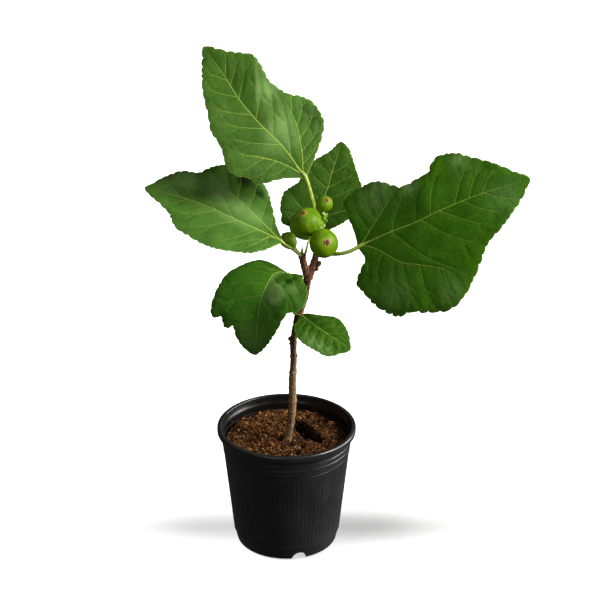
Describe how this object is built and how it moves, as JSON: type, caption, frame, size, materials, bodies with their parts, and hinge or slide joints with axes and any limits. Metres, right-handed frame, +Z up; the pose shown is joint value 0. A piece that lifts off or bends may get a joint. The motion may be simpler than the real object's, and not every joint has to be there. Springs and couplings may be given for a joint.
{
  "type": "fig tree in a pot",
  "caption": "Young fig tree with a slender forked stem, broad lobed leaves and round green figs, growing in a tapered black nursery pot filled with compost.",
  "frame": {"origin": "middle of the pot's flat underside, on the surface it stands on", "axes": "+Z up, +X to the plant's right as seen from the front, +Y to the back"},
  "size_m": [0.453, 0.2225, 0.6128],
  "materials": {
    "pot": "satin black injection-moulded plastic with fine upright flutes",
    "soil": "crumbly brown peat compost with lighter fibres",
    "bark": "young brown fig bark with pale pores and node rings",
    "green_wood": "soft green new growth",
    "leaf": "slightly rough satin green blade with pale raised veins",
    "fig": "satin green skin with faint ribs and pale specks, brown at the eye"
  },
  "bodies": {
    "root": {"pot": "pot", "soil": "soil", "trunk": "bark", "bough_left": "bark", "bough_right": "bark", "shoot": "green_wood", "bud": "green_wood", "leaf_top": "leaf", "leaf_left": "leaf", "leaf_back": "leaf", "leaf_right": "leaf", "leaf_lower_left": "leaf", "leaf_lower_right": "leaf", "fig_front": "fig", "fig_rear": "fig", "fig_low": "fig", "fig_top": "fig", "fig_left": "fig"}
  },
  "joints": []
}
